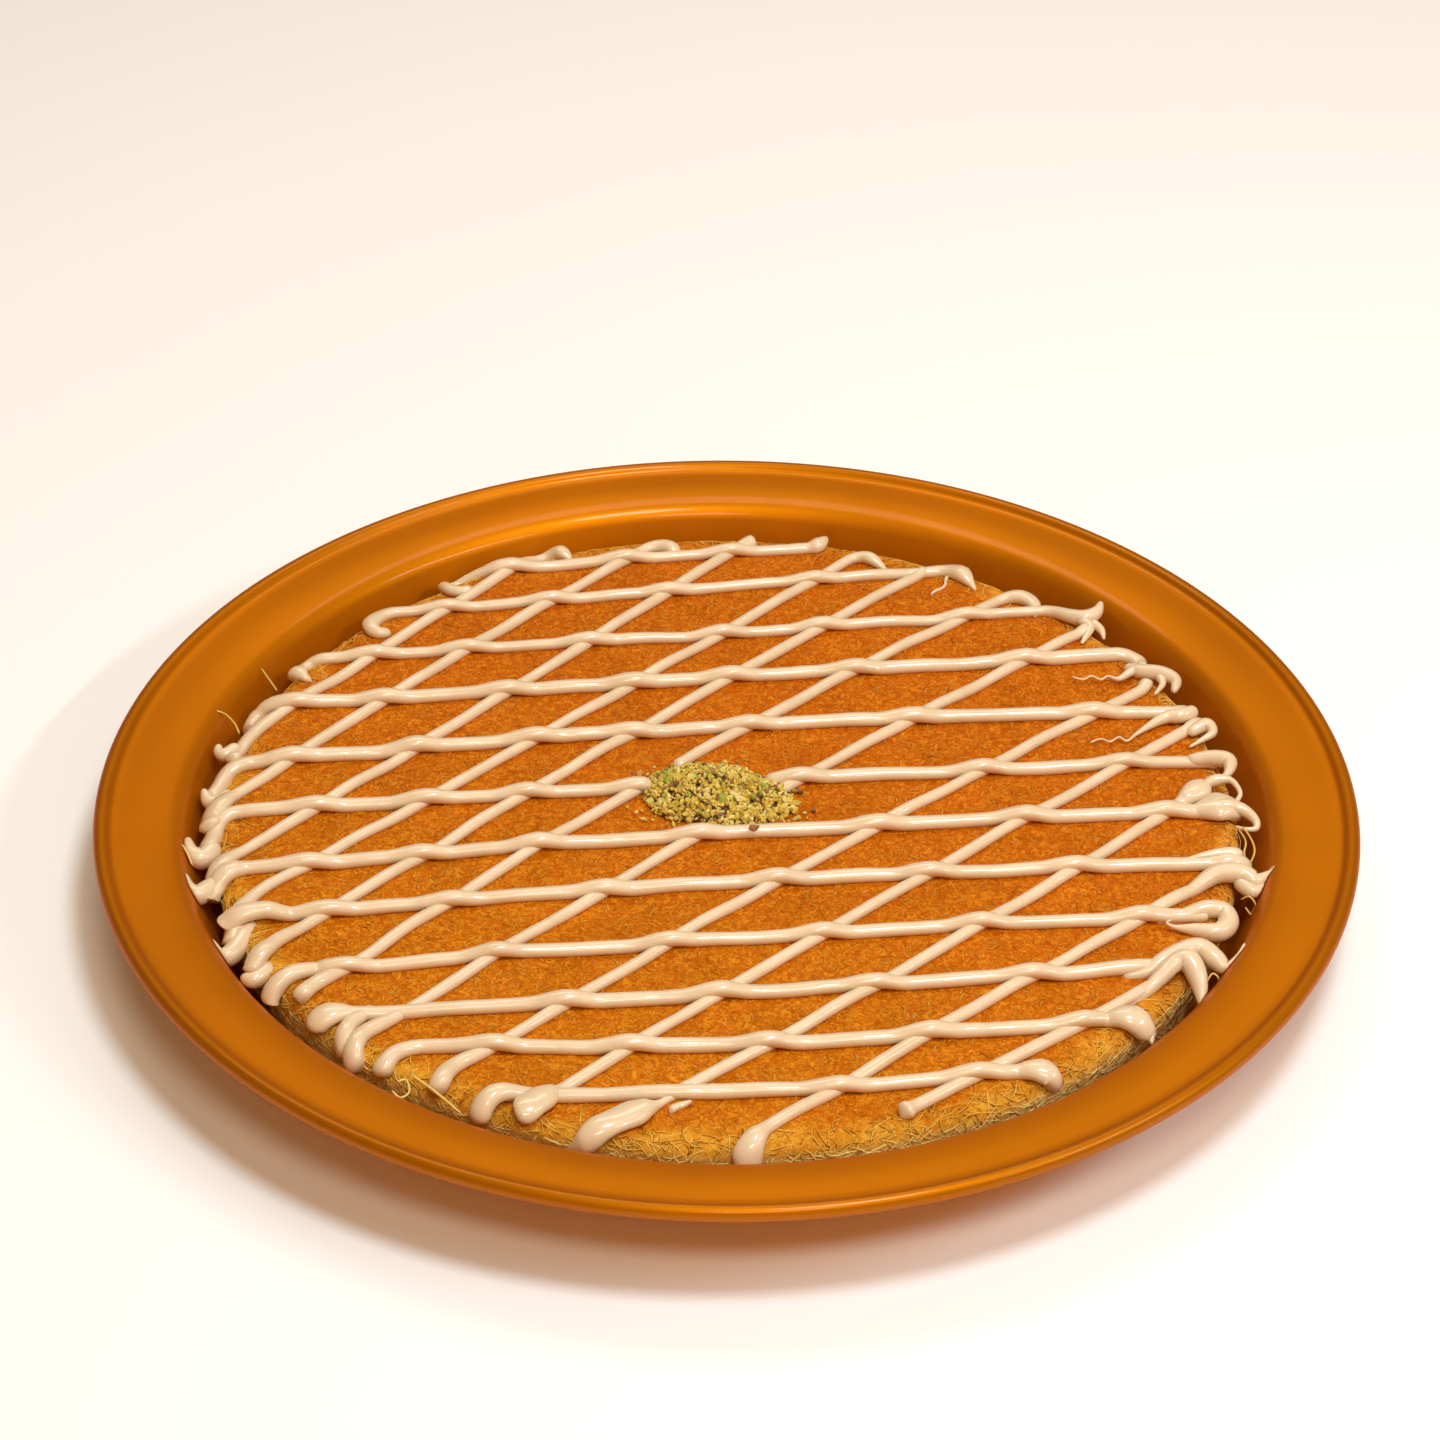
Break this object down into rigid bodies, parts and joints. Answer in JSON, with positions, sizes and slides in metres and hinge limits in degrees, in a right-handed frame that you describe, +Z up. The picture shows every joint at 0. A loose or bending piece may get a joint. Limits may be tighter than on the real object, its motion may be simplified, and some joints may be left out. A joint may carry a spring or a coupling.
{
  "type": "kunafa on a round tray",
  "caption": "Round lacquered tray with a broad rim, filled by a flat cake of shredded pastry with a slanting lattice of piped cream drizzle and a small heap of chopped pistachio.",
  "frame": {"origin": "centre of the tray's flat underside, on the surface it stands on", "axes": "+Z up; the front of the tray, nearest the viewer, faces -Y; +X is the viewer's right"},
  "size_m": [0.398, 0.398, 0.0342],
  "materials": {
    "tray_lacquer": "orange gold lacquer over smooth pressed aluminium, satin gloss",
    "baked_pastry": "crisp shredded dough, syrup moist, baked orange on top and pale yellow round the side",
    "cream_drizzle": "set piped cream drizzle, smooth with soft gloss",
    "chopped_pistachio": "dry chopped nut, yellow green with brown and purple skins"
  },
  "bodies": {
    "root": {"tray": "tray_lacquer", "pastry": "baked_pastry", "pistachio_heap": "chopped_pistachio"}
  },
  "joints": []
}
